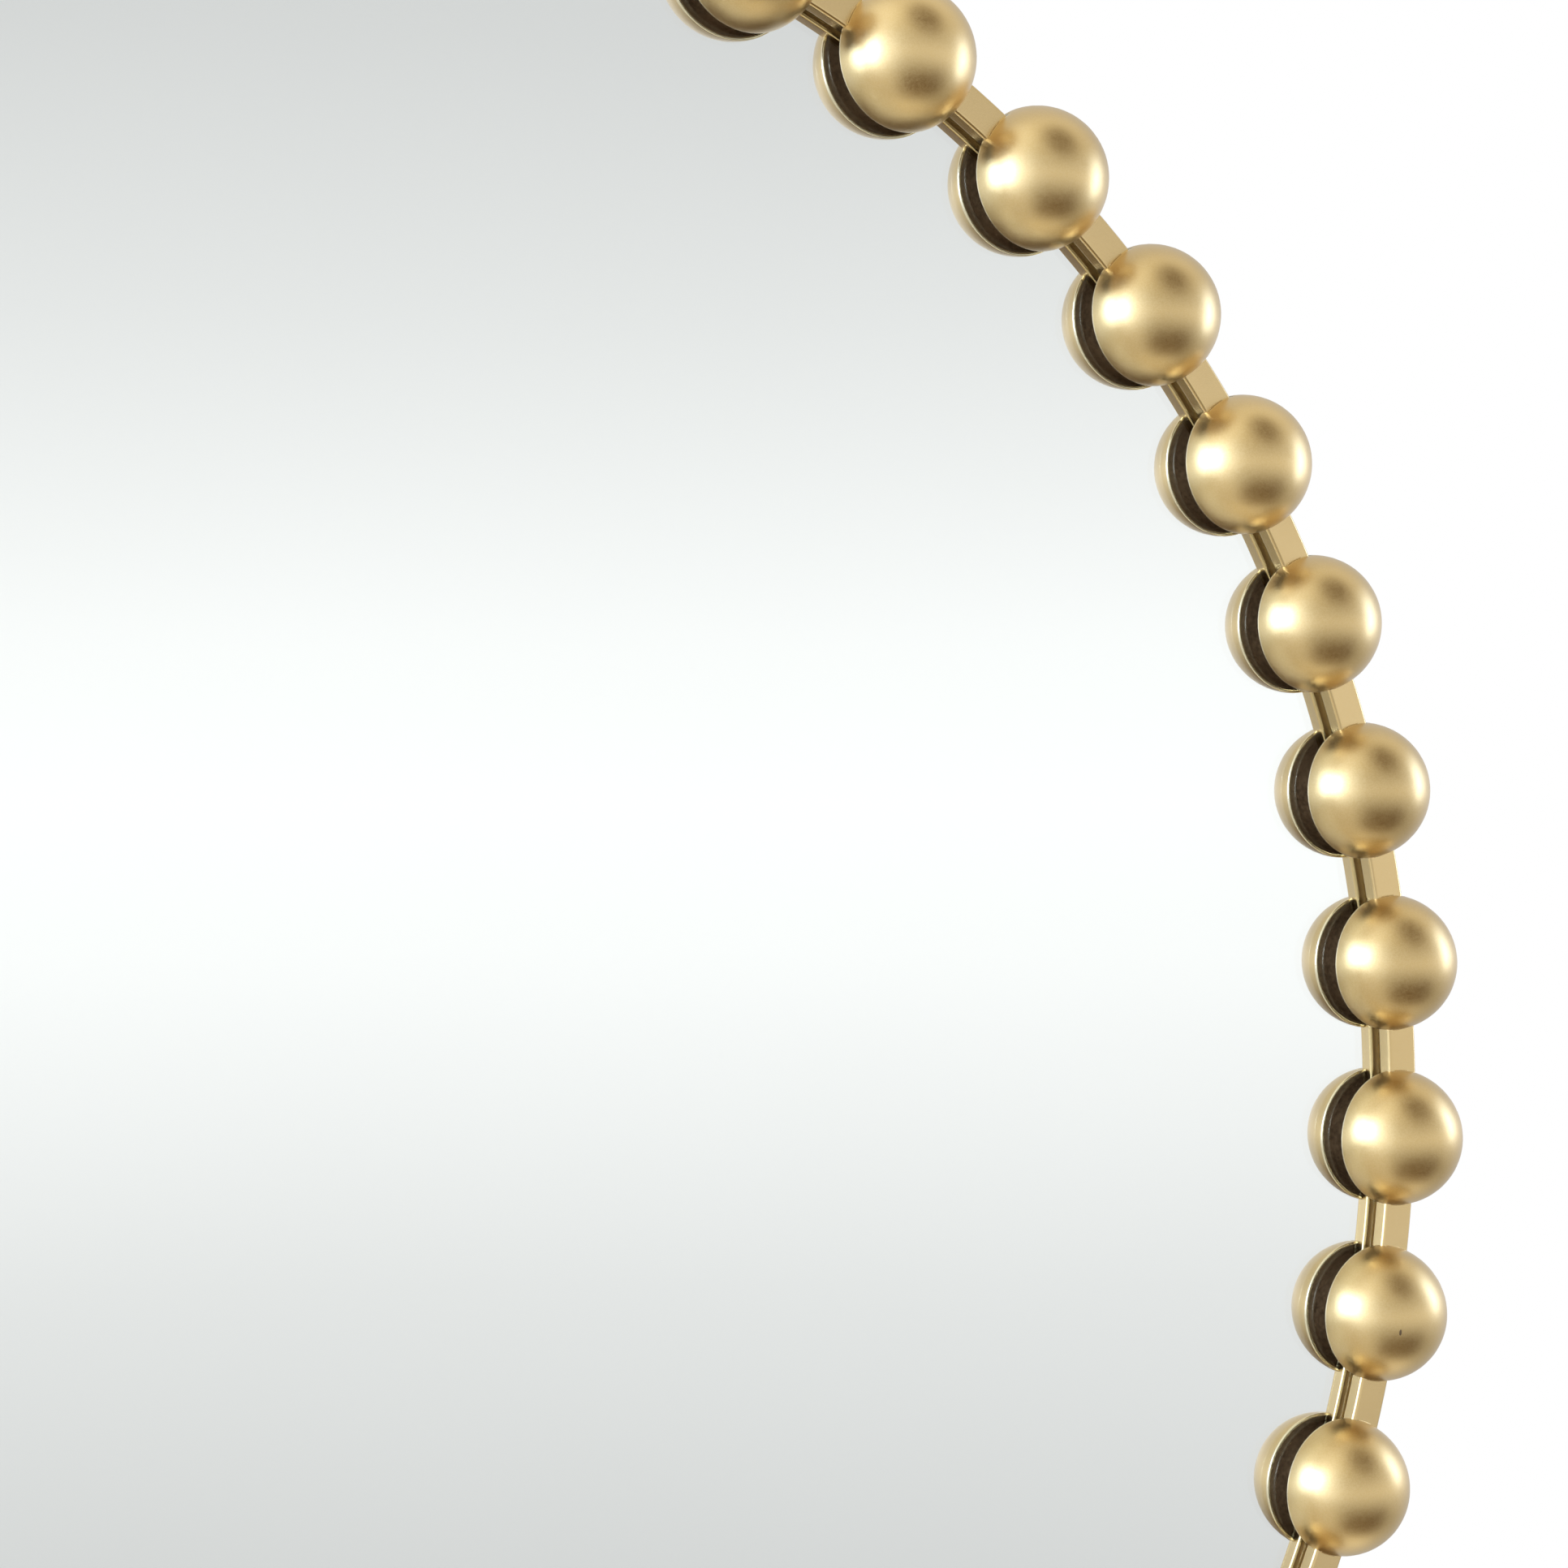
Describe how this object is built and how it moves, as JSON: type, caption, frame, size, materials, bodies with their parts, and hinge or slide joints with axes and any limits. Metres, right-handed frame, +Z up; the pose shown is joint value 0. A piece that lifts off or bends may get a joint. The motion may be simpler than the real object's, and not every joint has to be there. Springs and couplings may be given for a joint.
{
  "type": "round wall mirror",
  "caption": "Round wall mirror: a flat-bar ring strung with satin gold half-ball beads lies over the glass; board back with swinging D-ring hangers.",
  "frame": {"origin": "on the wall plane, behind the middle of the mirror; the bumpers' faces lie in this plane", "axes": "+Z up, +X to the right as seen from the room, +Y into the wall, so the mirror faces -Y"},
  "size_m": [0.7, 0.0408, 0.7],
  "materials": {
    "satin_gold": "satin metallic gold paint with a fine sparkle, on steel",
    "clear_glass": "clear polished glass with a slight green edge",
    "silvering": "silver under paint coats",
    "fibreboard": "raw fibreboard",
    "zinc_plate": "bright zinc plating",
    "black_rubber": "matt rubber"
  },
  "bodies": {
    "mirror": {"frame_ring": "satin_gold", "bead_01": "satin_gold", "bead_02": "satin_gold", "bead_03": "satin_gold", "bead_04": "satin_gold", "bead_05": "satin_gold", "bead_06": "satin_gold", "bead_07": "satin_gold", "bead_08": "satin_gold", "bead_09": "satin_gold", "bead_10": "satin_gold", "bead_11": "satin_gold", "bead_12": "satin_gold", "bead_13": "satin_gold", "bead_14": "satin_gold", "bead_15": "satin_gold", "bead_16": "satin_gold", "bead_17": "satin_gold", "bead_18": "satin_gold", "bead_19": "satin_gold", "bead_20": "satin_gold", "bead_21": "satin_gold", "bead_22": "satin_gold", "bead_23": "satin_gold", "bead_24": "satin_gold", "bead_25": "satin_gold", "bead_26": "satin_gold", "bead_27": "satin_gold", "bead_28": "satin_gold", "bead_29": "satin_gold", "bead_30": "satin_gold", "bead_31": "satin_gold", "bead_32": "satin_gold", "bead_33": "satin_gold", "bead_34": "satin_gold", "bead_35": "satin_gold", "bead_36": "satin_gold", "bead_37": "satin_gold", "bead_38": "satin_gold", "bead_39": "satin_gold", "bead_40": "satin_gold", "retaining_tab_1": "satin_gold", "retaining_tab_2": "satin_gold", "retaining_tab_3": "satin_gold", "retaining_tab_4": "satin_gold", "retaining_tab_5": "satin_gold", "retaining_tab_6": "satin_gold", "retaining_tab_7": "satin_gold", "retaining_tab_8": "satin_gold", "hanger_strap_left": "zinc_plate", "hanger_strap_right": "zinc_plate", "hanger_screws": "zinc_plate", "tab_screws": "zinc_plate", "mirror_glass": "clear_glass", "silver_coat": "silvering", "backing_board": "fibreboard", "wall_bumpers": "black_rubber"},
    "d_ring_left": {"d_ring_left": "zinc_plate"},
    "d_ring_right": {"d_ring_right": "zinc_plate"}
  },
  "joints": [
    {"name": "d_ring_swing_left", "type": "hinge", "parent": "mirror", "child": "d_ring_left", "pos_m": [-0.18, -0.0034, 0.15], "axis": [1, 0, 0], "range_deg": [0, 174]},
    {"name": "d_ring_swing_right", "type": "hinge", "parent": "mirror", "child": "d_ring_right", "pos_m": [0.18, -0.0034, 0.15], "axis": [1, 0, 0], "range_deg": [0, 174]}
  ]
}
